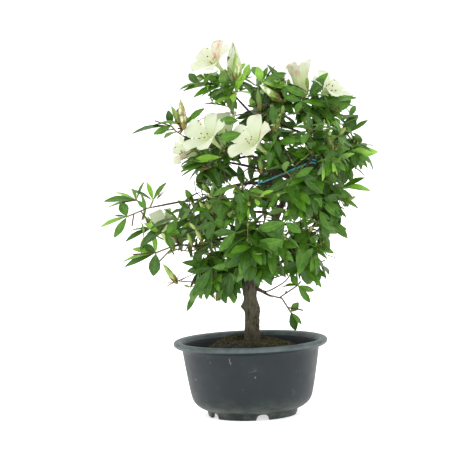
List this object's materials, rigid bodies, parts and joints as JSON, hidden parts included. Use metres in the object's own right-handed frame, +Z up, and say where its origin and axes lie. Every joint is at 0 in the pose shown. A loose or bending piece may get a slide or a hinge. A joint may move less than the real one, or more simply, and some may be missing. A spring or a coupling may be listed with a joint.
{
  "type": "potted azalea shrub",
  "caption": "Young satsuki-type azalea trained with a bare curved trunk and open leafy crown in white blossom, in a round dark nursery pot.",
  "frame": {"origin": "on the floor under the pot, at the centre of its foot ring, which is the centre of the bounding box's base", "axes": "+Z up, along the pot's axis and the plant's height; the front the picture shows looks along -Y, and +X is to its right"},
  "size_m": [0.3264, 0.2048, 0.4351],
  "materials": {
    "pot": "dusty satin",
    "soil": "rough, moist, with moss",
    "bark": "rough bark",
    "leaf": "satin leaves with white blossom",
    "wire": "satin coated wire"
  },
  "bodies": {
    "root": {"bough_back_centre": "bark", "bough_back_left": "bark", "bough_back_low": "bark", "bough_back_low_left": "bark", "bough_back_low_right": "bark", "bough_back_right": "bark", "bough_back_top": "bark", "bough_far_left": "bark", "bough_front_centre": "bark", "bough_front_left": "bark", "bough_front_low": "bark", "bough_front_right": "bark", "bough_front_upper": "bark", "bough_left_centre": "bark", "bough_left_low": "bark", "bough_left_lower": "bark", "bough_left_middle": "bark", "bough_left_shoot": "bark", "bough_right": "bark", "bough_right_low": "bark", "bough_right_lower": "bark", "bough_right_upper": "bark", "bough_top": "bark", "bough_top_left": "bark", "foliage_back_centre": "leaf", "foliage_back_left": "leaf", "foliage_back_low": "leaf", "foliage_back_low_left": "leaf", "foliage_back_low_right": "leaf", "foliage_back_right": "leaf", "foliage_back_top": "leaf", "foliage_far_left": "leaf", "foliage_front_centre": "leaf", "foliage_front_left": "leaf", "foliage_front_low": "leaf", "foliage_front_right": "leaf", "foliage_front_upper": "leaf", "foliage_left_centre": "leaf", "foliage_left_low": "leaf", "foliage_left_lower": "leaf", "foliage_left_middle": "leaf", "foliage_left_shoot": "leaf", "foliage_right": "leaf", "foliage_right_low": "leaf", "foliage_right_lower": "leaf", "foliage_right_upper": "leaf", "foliage_top": "leaf", "foliage_top_left": "leaf", "foliage_top_right": "leaf", "pot": "pot", "root_ball": "soil", "tie_wire": "wire", "trunk": "bark"}
  },
  "joints": []
}
